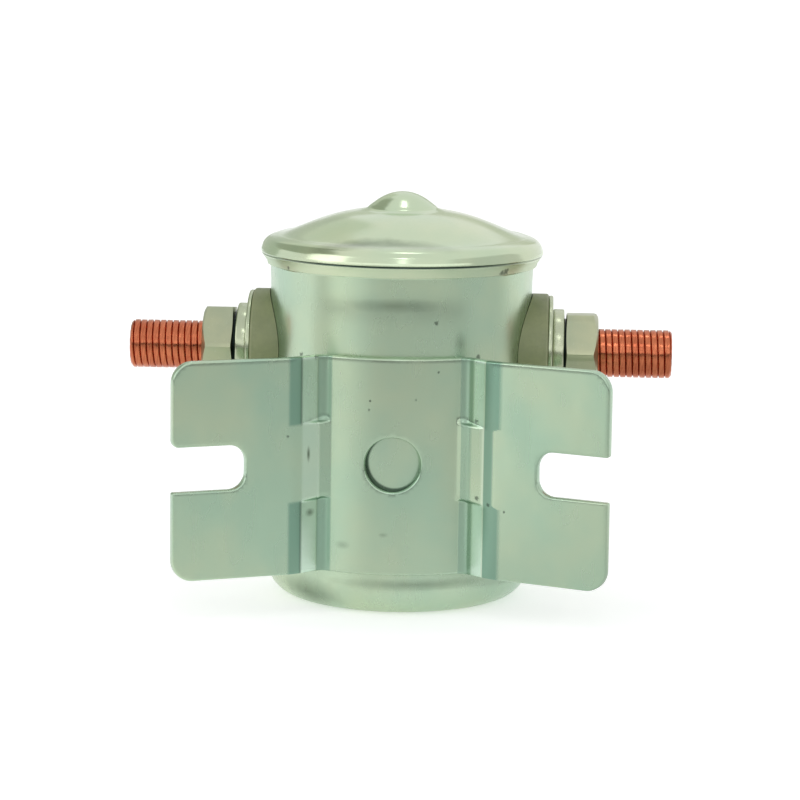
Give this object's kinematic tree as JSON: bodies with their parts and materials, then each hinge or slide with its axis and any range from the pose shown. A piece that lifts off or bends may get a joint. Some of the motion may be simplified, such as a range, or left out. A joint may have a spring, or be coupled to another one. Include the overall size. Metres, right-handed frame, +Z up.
{
  "type": "hydraulic pump solenoid",
  "caption": "Sealed round solenoid switch with a domed cover, a two-wing bracket with open slots, and copper stud terminals on its sides.",
  "frame": {"origin": "middle of the can's flat base", "axes": "+Z up the can's axis to the domed cover, -Y out of the bracket's front, +X towards the right stud as seen from the bracket"},
  "size_m": [0.0892, 0.0636, 0.0667],
  "materials": {
    "zinc_can": "bright zinc plate with a pale green tint",
    "zinc_cover": "bright zinc plate with a pale green tint",
    "zinc_bracket": "zinc plate with a blue-green tint, fine scratches",
    "zinc_nut": "satin zinc plate, slightly yellow",
    "zinc_washer": "bright zinc plate",
    "zinc_screw": "bright zinc plate",
    "copper": "bright bare copper",
    "lead_copper": "tinned copper",
    "enamelled_wire": "glossy enamel over copper wire",
    "olive_moulding": "moulded phenolic, olive",
    "fibre": "vulcanised fibre",
    "nylon": "natural nylon",
    "tape": "varnished tape",
    "gasket_rubber": "matt",
    "brass_tube": "drawn",
    "brass_rod": "turned",
    "soft_iron": "plain",
    "plunger_steel": "ground",
    "spring_steel": "drawn wire"
  },
  "bodies": {
    "housing": {"can": "zinc_can", "cover": "zinc_cover", "cover_gasket": "gasket_rubber", "mounting_bracket": "zinc_bracket", "left_stud": "copper", "right_stud": "copper", "left_outer_insulator": "olive_moulding", "right_outer_insulator": "olive_moulding", "left_inner_insulator": "fibre", "right_inner_insulator": "fibre", "left_flat_washer": "zinc_washer", "right_flat_washer": "zinc_washer", "left_lock_washer": "zinc_washer", "right_lock_washer": "zinc_washer", "left_nut": "zinc_nut", "right_nut": "zinc_nut", "coil_terminal_screws": "zinc_screw", "coil_terminal_outer_insulators": "olive_moulding", "coil_terminal_inner_insulators": "fibre", "coil_terminal_flat_washers": "zinc_washer", "coil_terminal_lock_washers": "zinc_washer", "coil_terminal_nuts": "zinc_nut", "coil_leads": "lead_copper", "bobbin": "nylon", "coil_winding": "enamelled_wire", "coil_wrap": "tape", "plunger_sleeve": "brass_tube", "lower_pole_plate": "soft_iron", "upper_pole_plate": "soft_iron", "pole_core": "soft_iron", "chamber_floor": "fibre", "return_spring": "spring_steel"},
    "plunger_assembly": {"plunger": "plunger_steel", "plunger_rod": "brass_rod", "rod_collar": "zinc_washer", "spring_washer": "zinc_washer", "rod_clip": "spring_steel", "contact_spring": "spring_steel"},
    "contact_assembly": {"contact_disc": "copper", "lower_contact_bush": "fibre", "upper_contact_bush": "fibre"}
  },
  "joints": [
    {"name": "plunger_stroke", "type": "slide", "parent": "housing", "child": "plunger_assembly", "axis": [0, 0, -1], "range_m": [0, 0.003], "stiffness_N_per_m": 900, "springref_m": -0.004, "deforming": ["return_spring"]},
    {"name": "contact_overtravel", "type": "slide", "parent": "plunger_assembly", "child": "contact_assembly", "axis": [0, 0, 1], "range_m": [0, 0.0008], "deforming": ["contact_spring"]}
  ],
  "couplings": [
    {"joint": "contact_overtravel", "follows": "plunger_stroke", "ratio": 0.2666}
  ]
}
